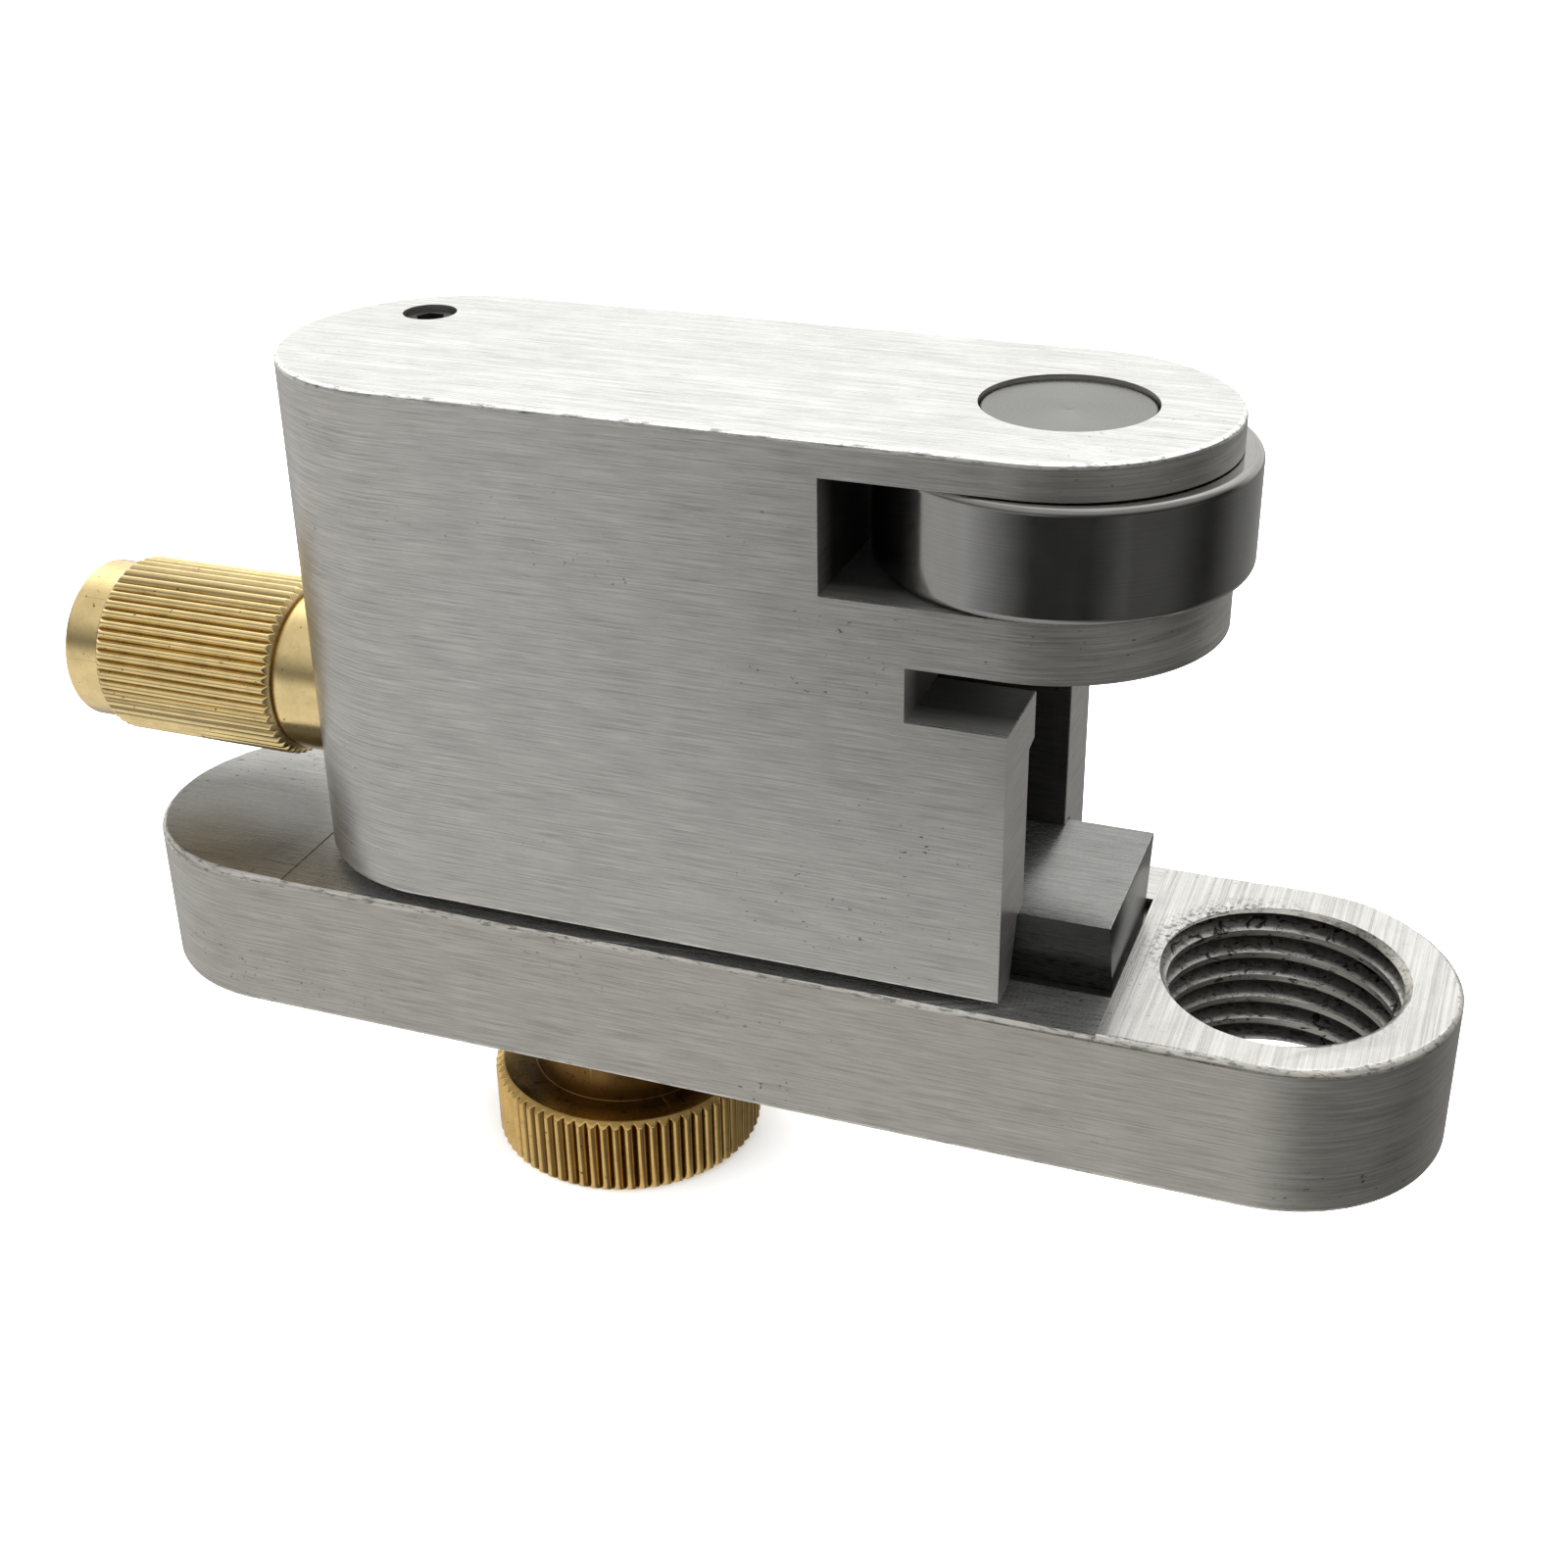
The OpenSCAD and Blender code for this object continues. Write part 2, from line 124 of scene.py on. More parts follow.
# Base plate: round ends, skimmed middle with a pocket for the bar, slot and tool thread.
PLATE_R = plate.size.y / 2
PLATE_X0 = plate.lo.x + PLATE_R
COARSE_TRAVEL = 12.0
RELIEF_DEPTH = 0.15
RELIEF_START = 0.05
RELIEF_X0 = plate.lo.x + 16.7
RELIEF_RUN = 25.0
STEP_X = bar.hi.x + 0.35
POCKET_Z = bar.lo.z - 0.05
POCKET_X0 = bar.lo.x - COARSE_TRAVEL - 0.6
POCKET_W = 14.4
SLOT_PLAY = 0.35
THREAD_R = mount["dims"]["r_mm"]
THREAD_ROOT_R = 9.5
THREAD_PITCH = 2.0
MOUTH_R = THREAD_R + 0.5
MOUTH_DEPTH = 0.55

# Screws on the guide, with the fine pitch that both share.
STUD_X = stud.mid.x
STUD_R = stud.size.x / 2
SCREW_Z = lead.mid.z
LEAD_R = lead.size.z / 2
FINE_PITCH = 1.0
FINE_DEPTH = 0.6
TIP_L = 1.6
TIP_IN = FINE_DEPTH + 0.04

# Guide bar: tapered rail with a lug on it.
RAIL_LOW_HALF = 5.3
RAIL_TOP_HALF = 7.35
RAIL_TOP = bar.lo.z + 6.55
LUG_HALF_L = 6.0
LUG_HALF_W = 6.2
LUG_BORE_R = 4.5

# Roller and its pin.
ROLLER_X = ring.mid.x
ROLLER_R = ring.size.x / 2
TYRE_BORE_R = 11.1
HUB_R = 6.95
HUB_BORE_R = 5.0
TRACK_R = 2.44
TRACK_PITCH_R = (ROLLER_R + HUB_BORE_R) / 2
PIN_HEAD_R = pin.size.x / 2
PIN_PLAY = 0.05

# Block: window for the roller, notch and cheek below it, hollow for the bar and its lug.
BLOCK_R = block.size.y / 2
BLOCK_X0 = block.lo.x + BLOCK_R
BLOCK_X1 = block.hi.x - BLOCK_R
WINDOW_Z0 = shim_low.lo.z
WINDOW_Z1 = shim_top.hi.z
WINDOW_X = ROLLER_X - 13.3
NOTCH_X = ROLLER_X - 7.3
NOTCH_Z0 = 33.9
NOTCH_Z1 = pin.lo.z - 0.2
CHEEK_X = ROLLER_X - 0.2
SLOT_X0 = block.lo.x + 12.2
SLOT_HALF = 6.25
SLOT_Z1 = 30.1
NECK_HALF = 4.85
NECK_Z0 = 30.4
CHANNEL_MOUTH_HALF = 9.7
CHANNEL_TOP_HALF = 7.75
RETAINER_HOLE_R = 1.65
GRUB_HOLE_R = 2.05

# Adjusting knob, from its free end to its journal in the block.
KNOB_R = knob.size.z / 2
KNOB_RIM_R = 6.48
KNOB_TAPER = 0.55
KNURL_X0 = knob.lo.x + 3.2
KNURL_X1 = knob.lo.x + 19.3
JOURNAL_R = 6.5
GROOVE_R = 3.95
GROOVE_HALF = 1.8
KNOB_CORE_R = 2.2

# Thumb screw: knurled head with a plain boss on it.
THUMB_R = thumb.size.x / 2
THUMB_TOP = thumb.lo.z + 6.75
THUMB_TAPER = 0.75
BOSS_R = 7.6


# ---------------------------------------------------------------- mesh helpers

def temporary(bm):
    """Scene object that holds a mesh while booleans run."""
    mesh = bpy.data.meshes.new("temporary")
    bm.to_mesh(mesh)
    bm.free()
    obj = bpy.data.objects.new("temporary", mesh)
    bpy.context.scene.collection.objects.link(obj)
    return obj


def boolean(bm, tools, operation="DIFFERENCE"):
    """The mesh with each tool cut from it or joined to it."""
    body = temporary(bm)
    others = [temporary(t) for t in tools]
    for other in others:
        modifier = body.modifiers.new("cut", "BOOLEAN")
        modifier.operation = operation
        modifier.solver = "EXACT"
        modifier.object = other
    graph = bpy.context.evaluated_depsgraph_get()
    mesh = bpy.data.meshes.new_from_object(body.evaluated_get(graph))
    result = bmesh.new()
    result.from_mesh(mesh)
    bpy.data.meshes.remove(mesh)
    for obj in [body] + others:
        data = obj.data
        bpy.data.objects.remove(obj)
        bpy.data.meshes.remove(data)
    bmesh.ops.remove_doubles(result, verts=result.verts, dist=0.0005)
    bmesh.ops.dissolve_degenerate(result, edges=result.edges, dist=0.0005)
    return result


def loft(rows, closed=True, capped=True):
    """Mesh through rows of points, each row a loop around the piece."""
    bm = bmesh.new()
    loops = [[bm.verts.new(p) for p in row] for row in rows]
    count = len(loops[0])
    last = count if closed else count - 1
    for low, high in zip(loops, loops[1:]):
        for i in range(last):
            j = (i + 1) % count
            bm.faces.new((low[i], low[j], high[j], high[i]))
    if capped:
        bm.faces.new(loops[0][::-1])
        bm.faces.new(loops[-1])
    return bm


def stadium(x0, x1, rows, wobble=None):
    """Round-ended plate. Each row is (radius, height, share of wobble);
    wobble(x, y) is taken from the radius."""
    ends = 72
    sides = 110
    outline = []
    for i in range(ends + 1):
        a = -math.pi / 2 + math.pi * i / ends
        outline.append((x1, math.cos(a), math.sin(a)))
    for i in range(1, sides):
        outline.append((x1 + (x0 - x1) * i / sides, 0.0, 1.0))
    for i in range(ends + 1):
        a = math.pi / 2 + math.pi * i / ends
        outline.append((x0, math.cos(a), math.sin(a)))
    for i in range(1, sides):
        outline.append((x0 + (x1 - x0) * i / sides, 0.0, -1.0))
    loops = []
    for radius, z, share in rows:
        loop = []
        for cx, dx, dy in outline:
            r = radius
            if wobble and share:
                r -= share * wobble(cx + radius * dx, radius * dy)
            loop.append((cx + r * dx, r * dy, z))
        loops.append(loop)
    return loft(loops)


def lathe(profile, steps=128, limit=None, closed=False):
    """Solid of revolution around Z from (radius, height) points, or a ring if closed.
    A third value in a point, if true, keeps its radius within limit(angle)."""
    rows = []
    for point in profile + (profile[:1] if closed else []):
        row = []
        for i in range(steps):
            a = TURN * i / steps
            r = point[0]
            if limit and len(point) > 2 and point[2]:
                r = min(r, limit(a))
            row.append((r * math.cos(a), r * math.sin(a), point[1]))
        rows.append(row)
    bm = loft(rows, capped=False)
    bmesh.ops.remove_doubles(bm, verts=bm.verts, dist=0.0001)
    return bm


def disc(r, z0, z1, edge0=0.0, edge1=0.0, steps=128):
    """Upright disc with rounded rims."""
    points = [(0.0, z0)]
    points += rounded_corner(r, z0, edge0, -1)
    points += rounded_corner(r, z1, edge1, 1)
    points.append((0.0, z1))
    return lathe(points, steps)


def rounded_corner(r, z, size, side, count=4):
    """Points around an outer corner at (r, z), on the lower (-1) or upper (1) side."""
    if not size:
        return [(r, z)]
    hold = 0.03
    points = [(r - size - hold, z)]
    for i in range(count + 1):
        a = math.pi / 2 * i / count
        points.append((r - size + size * math.sin(a), z - side * size * (1 - math.cos(a))))
    points.append((r, z - side * (size + hold)))
    return points if side < 0 else points[::-1]


def box(a, b):
    """Box between two corners."""
    bm = bmesh.new()
    bmesh.ops.create_cube(bm, size=1.0)
    size = Vector(b) - Vector(a)
    middle = (Vector(a) + Vector(b)) / 2
    bm.transform(Matrix.Translation(middle) @ Matrix.Diagonal((*size, 1.0)))
    return bm


def beam(x0, x1, section):
    """Bar along X from a section given as (y, z) points, anticlockwise from +X."""
    return loft([[(x, y, z) for y, z in section] for x in (x0, x1)])


def prism(outline):
    """Solid right across the guide from an outline given as (x, z) points."""
    return loft([[(x, y, z) for x, z in outline] for y in (PAST, -PAST)])


def helix(profile, pitch, z0, z1, steps=96):
    """Closed screw body around Z between z0 and z1. profile is (height, radius) across one pitch."""
    turns = (z1 - z0) / pitch + 4
    bm = bmesh.new()
    rows = []
    for i in range(int(turns * steps) + 1):
        a = TURN * i / steps
        rise = z0 - 2 * pitch + pitch * i / steps
        row = [(r * math.cos(a), r * math.sin(a), rise + z) for z, r in profile]
        rows.append([bm.verts.new(p) for p in row])
    for low, high in zip(rows, rows[1:]):
        for j in range(len(profile) - 1):
            bm.faces.new((low[j], high[j], high[j + 1], low[j + 1]))
    bmesh.ops.remove_doubles(bm, verts=bm.verts, dist=0.001)
    for z, side in ((z0, -1), (z1, 1)):
        parts = bm.verts[:] + bm.edges[:] + bm.faces[:]
        bmesh.ops.bisect_plane(bm, geom=parts, plane_co=(0, 0, z), plane_no=(0, 0, side),
                               clear_outer=True)
        rim = [e for e in bm.edges if e.is_boundary and all(abs(v.co.z - z) < 1e-4 for v in e.verts)]
        bmesh.ops.holes_fill(bm, edges=rim, sides=0)
    bmesh.ops.recalc_face_normals(bm, faces=bm.faces)
    return bm


def moved(bm, offset, turn=None):
    """The mesh turned, then moved."""
    bm.transform(Matrix.Translation(offset) @ (turn or Matrix.Identity(4)))
    return bm


def soften(bm, size, angle=35):
    """Rounds every edge where two faces meet at more than angle degrees."""
    sharp = [e for e in bm.edges
             if len(e.link_faces) == 2 and e.calc_face_angle(0) > math.radians(angle)]
    bmesh.ops.bevel(bm, geom=sharp, offset=size, segments=2, profile=0.5,
                    affect="EDGES", clamp_overlap=True)


def shown(name, bm, material):
    """Object of a mesh, scaled to metres and smooth, with one material."""
    for f in bm.faces:
        f.smooth = True
    bm.transform(Matrix.Scale(MM, 4))
    mesh = bpy.data.meshes.new(name)
    bm.to_mesh(mesh)
    bm.free()
    mesh.materials.append(material)
    obj = bpy.data.objects.new(name, mesh)
    bpy.context.scene.collection.objects.link(obj)
    return obj


def mesh_object(name, bm, material, body, node, sharp=33):
    """Piece that rides on a body and stands for a CAD node. Edges over sharp degrees stay hard."""
    bmesh.ops.recalc_face_normals(bm, faces=bm.faces)
    for e in bm.edges:
        e.smooth = len(e.link_faces) == 2 and e.calc_face_angle(0) < math.radians(sharp)
    obj = shown(name, bm, material)
    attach(obj, body)
    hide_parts(node)


# ---------------------------------------------------------------- materials

class Shader:
    """Small helper that adds and links the nodes of one material."""

    def __init__(self, name):
        self.material = bpy.data.materials.new(name)
        self.material.use_nodes = True
        self.tree = self.material.node_tree
        self.surface = self.tree.nodes["Principled BSDF"]
        self.position = self.add("ShaderNodeTexCoord").outputs["Object"]

    def add(self, kind, settings=None, values=None):
        """New node with its settings and the values or links of its inputs."""
        node = self.tree.nodes.new(kind)
        for key, value in (settings or {}).items():
            setattr(node, key, value)
        for key, value in (values or {}).items():
            self.put(node.inputs[key], value)
        return node

    def put(self, socket, value):
        """Links a socket to an input, or sets its constant."""
        if isinstance(value, bpy.types.NodeSocket):
            self.tree.links.new(value, socket)
        else:
            socket.default_value = value

    def math(self, operation, a, b=0.0, clamp=False):
        """Result of one operation on two numbers or sockets."""
        node = self.add("ShaderNodeMath", {"operation": operation, "use_clamp": clamp}, {0: a, 1: b})
        return node.outputs[0]

    def scaled(self, scale):
        """Object position in millimetres times a scale for each axis."""
        values = {"Vector": self.position, "Scale": [s / MM for s in scale]}
        return self.add("ShaderNodeMapping", None, values).outputs[0]

    def product(self, *factors):
        """All factors multiplied."""
        result = factors[0]
        for factor in factors[1:]:
            result = self.math("MULTIPLY", result, factor)
        return result

    def distance(self, a, b):
        """Length of a step of a and b at right angles."""
        squares = [self.math("POWER", self.math("ABSOLUTE", v), 2.0) for v in (a, b)]
        return self.math("SQRT", self.math("ADD", *squares))

    def noise(self, scale, detail=3.0, rough=0.55, distortion=0.0):
        """Noise with scale features per millimetre along each axis."""
        values = {"Vector": self.scaled(scale), "Scale": 1.0, "Detail": detail,
                  "Roughness": rough, "Distortion": distortion}
        return self.add("ShaderNodeTexNoise", None, values).outputs["Fac"]

    def span(self, value, low, high, out_low=0.0, out_high=1.0):
        """The value's place between low and high carried to between out_low and out_high."""
        values = {0: value, 1: low, 2: high, 3: out_low, 4: out_high}
        return self.add("ShaderNodeMapRange", {"clamp": True}, values).outputs[0]

    def blend(self, factor, a, b, mode="MIX"):
        """Colours a and b blended."""
        settings = {"data_type": "RGBA", "blend_type": mode}
        return self.add("ShaderNodeMix", settings, {0: factor, 6: a, 7: b}).outputs[2]

    def choose(self, factor, a, b):
        """Numbers a and b blended."""
        return self.add("ShaderNodeMix", {"data_type": "FLOAT"}, {0: factor, 2: a, 3: b}).outputs[0]

    def grey(self, value):
        """Colour with three equal parts."""
        return self.add("ShaderNodeCombineColor", None, {0: value, 1: value, 2: value}).outputs[0]

    def normal_z(self):
        """Upward part of the surface's direction."""
        normal = self.add("ShaderNodeTexCoord").outputs["Normal"]
        return self.add("ShaderNodeSeparateXYZ", None, {0: normal}).outputs["Z"]

    def axis(self, name):
        """One coordinate in millimetres."""
        part = self.add("ShaderNodeSeparateXYZ", None, {0: self.position}).outputs[name]
        return self.math("MULTIPLY", part, 1 / MM)

    def bump(self, height, strength, distance, under=None):
        """Normal of a relief, distance in millimetres, on top of another normal."""
        values = {"Height": height, "Strength": strength, "Distance": distance * MM}
        if under is not None:
            values["Normal"] = under
        return self.add("ShaderNodeBump", None, values).outputs[0]

    def finish(self, colour, rough, normal=None, metallic=1.0, **extra):
        """The material, its surface set; extra names sockets with underscores for spaces."""
        self.put(self.surface.inputs["Base Color"], colour)
        self.put(self.surface.inputs["Roughness"], rough)
        self.put(self.surface.inputs["Metallic"], metallic)
        if normal is not None:
            self.put(self.surface.inputs["Normal"], normal)
        for key, value in extra.items():
            self.put(self.surface.inputs[key.replace("_", " ")], value)
        return self.material


def colour4(rgb, share=1.0):
    """Opaque colour, darkened to a share."""
    return (*[part * share for part in rgb], 1.0)


def brushed(name, side_shaded_tint, top_lit_tint, rough, cross=None, hollow=None, marks=None,
            shade_and_stain=None, pit_level=0.69):
    """Machined flats with short fine brushing along X, pits, a painted highlight along the edges
    broken by dark burr flakes, and painted shade in hollows. Sides take the darker tint and tops
    the lighter one: painted shade on sides and painted light on tops. Tops beyond x = cross have
    marks right across instead. hollow(shader) is 0 outside and 1 deep inside, where painted shade
    darkens the colour, marks(shader) is 1 where dark burrs and smudges lie, and stain(shader) where
    tops are darkened by a painted reflection and shade, partly a stained finish. Fewer pits show
    when pit_level is higher."""
    s = Shader(name)
    normal_z = s.math("ABSOLUTE", s.normal_z())
    up = s.span(normal_z, 0.75, 0.9)
    edge = s.math("MULTIPLY", s.span(normal_z, 0.12, 0.3), s.span(normal_z, 0.9, 0.985, 1.0, 0.0))
    grains = []
    for scale in ((0.16, 0.16, 7.5), (0.16, 7.5, 0.16)):
        grains.append(s.noise(scale, detail=6.0, rough=0.72))
    if cross is not None:
        milled = s.noise((4.0, 0.05, 0.05), detail=6.0, rough=0.75)
        grains[1] = s.choose(s.span(s.axis("X"), cross - 0.03, cross + 0.03), grains[1], milled)
    grain = s.choose(up, grains[0], grains[1])
    scratch = s.span(s.noise((0.35, 2.2, 5.5), detail=3.0, rough=0.7), 0.63, 0.72)
    mottle = s.noise((0.25, 0.25, 0.5), detail=5.0, rough=0.65)
    cluster = s.span(s.noise((0.06, 0.06, 0.15), detail=1.0), 0.52, 0.66)
    pits = s.span(s.noise((1.9, 1.9, 3.4), detail=2.0, rough=0.5), pit_level, pit_level + 0.03)
    pits = s.math("MULTIPLY", pits, cluster)
    # Painted light and shade: tops take the lighter tint and sides the darker one.
    tint = s.blend(up, colour4(side_shaded_tint), colour4(top_lit_tint))
    # Painted highlight: edge bands are lightened to 1.5 times, broken by dark burr flakes.
    flake = s.span(s.noise((0.9, 2.5, 5.0), detail=4.0, rough=0.7), 0.52, 0.60)
    edge_highlight_and_burrs = s.choose(edge, 1.0, s.span(flake, 0.0, 1.0, 1.5, 0.7))
    shade = s.product(s.span(grain, 0.38, 0.62, 0.76, 1.20), s.choose(up, 1.0, 0.97),
                      s.span(mottle, 0.3, 0.7, 0.93, 1.06), s.span(scratch, 0.0, 1.0, 1.0, 0.80),
                      s.span(pits, 0.0, 1.0, 1.0, 0.35), edge_highlight_and_burrs)
    roughness = s.span(grain, 0.3, 0.7, rough - 0.06, rough + 0.07)
    roughness = s.math("SUBTRACT", roughness, s.math("MULTIPLY", up, 0.06))
    # Painted shade: deep inside a hollow the colour darkens to 0.22 of itself.
    if hollow is not None:
        depth = hollow(s)
        shade = s.math("MULTIPLY", shade, s.span(depth, 0.0, 1.0, 1.0, 0.22))
        roughness = s.math("ADD", roughness, s.math("MULTIPLY", depth, 0.12))
    if marks is not None:
        shade = s.math("MULTIPLY", shade, s.span(marks(s), 0.0, 1.0, 1.0, 0.12))
    # Painted reflection and shade: the patch darkens tops towards a third of the darker tint, partly a
    # stained finish.
    if shade_and_stain is not None:
        tint = s.blend(s.product(up, shade_and_stain(s)), tint, colour4(side_shaded_tint, 0.33))
    colour = s.blend(1.0, tint, s.grey(shade), "MULTIPLY")
    normal = s.bump(grain, 0.5, 0.02)
    normal = s.bump(scratch, -0.4, 0.02, normal)
    normal = s.bump(pits, -0.6, 0.04, normal)
    metallic = s.choose(up, 0.96, 0.92)
    return s.finish(colour, roughness, normal, metallic)


def inside_stadium(s, x0, x1, radius, reach):
    """How far inside the upright skin of a round-ended piece a point lies, 0 to 1 over reach."""
    middle, half = (x0 + x1) / 2, (x1 - x0) / 2
    off = s.math("ABSOLUTE", s.math("SUBTRACT", s.axis("X"), middle))
    end = s.math("MAXIMUM", s.math("SUBTRACT", off, half), 0.0)
    return s.span(s.distance(end, s.axis("Y")), radius - reach, radius - 0.15, 1.0, 0.0)


def block_hollow_shade(s):
    """Painted shade in the window, notch and slot of the block and on its underside, deeper in from the
    skin.
    """
    depth = inside_stadium(s, BLOCK_X0, BLOCK_X1, BLOCK_R, 3.0)
    height = s.axis("Z")
    below = s.span(height, block.hi.z - 0.6, block.hi.z - 0.5, 1.0, 0.0)
    window = s.span(height, WINDOW_Z0 - 0.2, WINDOW_Z0 - 0.1)
    slot = s.span(s.axis("X"), CHEEK_X - 0.12, CHEEK_X - 0.06, 1.0, 0.0)
    place = s.product(below, s.math("MAXIMUM", window, slot))
    # Painted shade on the block's underside, so the gap over the plate shows dark.
    underside = s.span(height, block.lo.z + 0.02, block.lo.z + 0.06, 1.0, 0.0)
    return s.product(depth, s.math("MAXIMUM", place, underside))


def plate_hollow_shade(s):
    """Painted shade in the thread, pocket and slot of the plate, darkest deep in the thread's grooves.
    """
    depth = inside_stadium(s, PLATE_X0, 0.0, PLATE_R, 4.0)
    height = s.axis("Z")
    place = s.product(s.span(height, plate.lo.z + 0.3, plate.lo.z + 0.5),
                      s.span(height, plate.hi.z - 0.5, plate.hi.z - 0.4, 1.0, 0.0))
    crest_r = 8.43
    deep_r = 8.75
    # Painted shade, darker towards the root of the thread.
    groove = s.span(s.distance(s.axis("X"), s.axis("Y")), crest_r, deep_r, 0.25, 1.0)
    return s.product(s.choose(in_bore(s), s.product(depth, 0.8), groove), place)


def knob_shade_and_stain(s):
    """Darker, duller patch on the plate's left end, below the knob: mostly a painted reflection and
    shade of the knob, partly a stained finish.
    """
    across = s.math("DIVIDE", s.math("SUBTRACT", s.axis("X"), knob.lo.x + 12.0), 1.3)
    along = s.math("ADD", s.axis("Y"), 5.0)
    edge = s.noise((0.12, 0.12, 0.12), detail=1.0)
    reach = s.math("ADD", s.distance(across, along), s.span(edge, 0.3, 0.7, -0.8, 0.8))
    patch = s.span(reach, 6.0, 18.0, 0.95, 0.0)
    return s.product(patch, s.span(s.axis("Z"), plate.hi.z - 1.0, plate.hi.z - 0.5))


def in_bore(s):
    """1 within the tool thread, 0 beyond its root."""
    radius = s.distance(s.axis("X"), s.axis("Y"))
    return s.span(radius, THREAD_ROOT_R + 0.1, THREAD_ROOT_R + 0.2, 1.0, 0.0)


def thread_marks(s):
    """Burrs in the thread and smudges on the face round its mouth."""
    radius = s.distance(s.axis("X"), s.axis("Y"))
    height = s.axis("Z")
    top = plate.hi.z
    burrs = s.span(s.noise((0.45, 0.45, 1.1), detail=5.0, rough=0.72, distortion=2.0), 0.58, 0.61)
    bore = s.product(in_bore(s), s.span(height, top - 0.4, top - 0.3, 1.0, 0.0))
    smudge = s.span(s.noise((2.2, 2.2, 0.1), detail=4.0, rough=0.7), 0.52, 0.56)
    face = s.product(s.span(radius, 9.1, 11.0, 0.95, 0.0), s.span(s.axis("X"), -6.0, 1.5, 1.0, 0.0),
                     s.span(height, top - 0.1, top - 0.05), s.span(s.axis("Y"), -5.0, 2.0))
    return s.math("MAXIMUM", s.product(burrs, bore), s.product(smudge, face))


def turned(name, tint, rough, centre, axis="Z", lines=6.0, strength=0.2, sheen=0.0):
    """Lathe-turned metal with fine rings around an axis through centre, lines to the millimetre."""
    s = Shader(name)
    offset = s.add("ShaderNodeVectorMath", {"operation": "SUBTRACT"},
                   {0: s.position, 1: [c * MM for c in centre]}).outputs[0]
    parts = s.add("ShaderNodeSeparateXYZ", None, {0: offset})
    across = [s.math("MULTIPLY", parts.outputs[n], 1 / MM) for n in "XYZ" if n != axis]
    radius = s.distance(*across)
    along = s.math("MULTIPLY", parts.outputs[axis], 1 / MM)
    rings = s.add("ShaderNodeCombineXYZ", None, {0: s.math("MULTIPLY", radius, lines),
                                                 1: s.math("MULTIPLY", along, lines), 2: 0.0})
    values = {"Vector": rings.outputs[0], "Scale": 1.0, "Detail": 4.0, "Roughness": 0.6}
    ridge = s.add("ShaderNodeTexNoise", None, values).outputs["Fac"]
    mottle = s.noise((0.35, 0.35, 0.35), detail=4.0, rough=0.6)
    fine = s.noise((6.0, 6.0, 6.0), detail=3.0)
    shade = s.product(s.span(ridge, 0.3, 0.7, 0.9, 1.08), s.span(mottle, 0.3, 0.7, 0.93, 1.05))
    colour = s.blend(1.0, colour4(tint), s.grey(shade), "MULTIPLY")
    roughness = s.math("ADD", s.span(mottle, 0.3, 0.7, rough - 0.03, rough + 0.04),
                       s.span(fine, 0.3, 0.7, -0.02, 0.02))
    tangent = s.add("ShaderNodeTangent", {"direction_type": "RADIAL", "axis": axis}).outputs[0]
    return s.finish(colour, roughness, s.bump(ridge, strength, 0.02), Anisotropic=sheen, Tangent=tangent)


def brass(name, tint, dark, rough, dirt):
    """Turned brass with pits and a soft patina, dark in the hollows of the knurl as far as dirt
    says."""
    s = Shader(name)
    hollow = s.add("ShaderNodeNewGeometry").outputs["Pointiness"]
    tarnish = s.noise((0.5, 0.5, 0.5), detail=5.0, rough=0.65)
    grime = s.span(s.noise((1.1, 1.1, 1.1), detail=4.0, rough=0.7), 0.56, 0.75)
    pits = s.span(s.noise((1.7, 1.7, 1.7), detail=2.0), 0.70, 0.74)
    lines = s.noise((7.0, 0.4, 0.4), detail=3.0, rough=0.6)
    amount = s.math("MULTIPLY", s.span(hollow, 0.47, 0.50, 1.0, 0.0), dirt, clamp=True)
    amount = s.math("ADD", amount, s.math("MULTIPLY", grime, dirt * 0.35), clamp=True)
    amount = s.math("ADD", amount, s.math("MULTIPLY", pits, 0.8), clamp=True)
    base = s.blend(s.span(tarnish, 0.35, 0.7), colour4(tint), colour4(tint, 0.8))
    colour = s.blend(amount, base, colour4(dark))
    roughness = s.math("ADD", s.span(tarnish, 0.3, 0.7, rough - 0.04, rough + 0.08),
                       s.math("MULTIPLY", amount, 0.2))
    normal = s.bump(lines, 0.06, 0.02)
    normal = s.bump(pits, -0.35, 0.05, normal)
    return s.finish(colour, roughness, normal)


def oxide(name):
    """Black oxide finish of a small screw."""
    s = Shader(name)
    wear = s.noise((2.5, 2.5, 2.5), detail=4.0)
    fine = s.noise((9.0, 9.0, 9.0), detail=3.0)
    colour = s.blend(s.span(wear, 0.55, 0.8), colour4((0.012, 0.012, 0.013)),
                     colour4((0.06, 0.055, 0.05)))
    rough = s.span(fine, 0.3, 0.7, 0.32, 0.5)
    return s.finish(colour, rough, s.bump(fine, 0.15, 0.02), metallic=0.6)


def pressed(name, tint, rough):
    """Pressed sheet steel with a slight grain and oily patches."""
    s = Shader(name)
    oil = s.noise((0.6, 0.6, 0.6), detail=4.0, rough=0.6)
    fine = s.noise((5.0, 5.0, 5.0), detail=3.0)
    colour = s.blend(s.span(oil, 0.35, 0.7), colour4(tint), colour4(tint, 0.7))
    roughness = s.math("ADD", s.span(oil, 0.3, 0.7, rough - 0.05, rough + 0.05),
                       s.span(fine, 0.3, 0.7, -0.03, 0.03))
    return s.finish(colour, roughness, s.bump(fine, 0.1, 0.01))


# ---------------------------------------------------------------- pieces

def chamfer_wobble(x, y):
    """Unevenness of a hand-broken edge, in millimetres."""
    broad = noise.noise(Vector((x * 0.12, y * 0.12, 1.7)))
    fine = noise.noise(Vector((x * 0.9, y * 0.9, 5.1)))
    return 0.22 * broad + 0.10 * fine


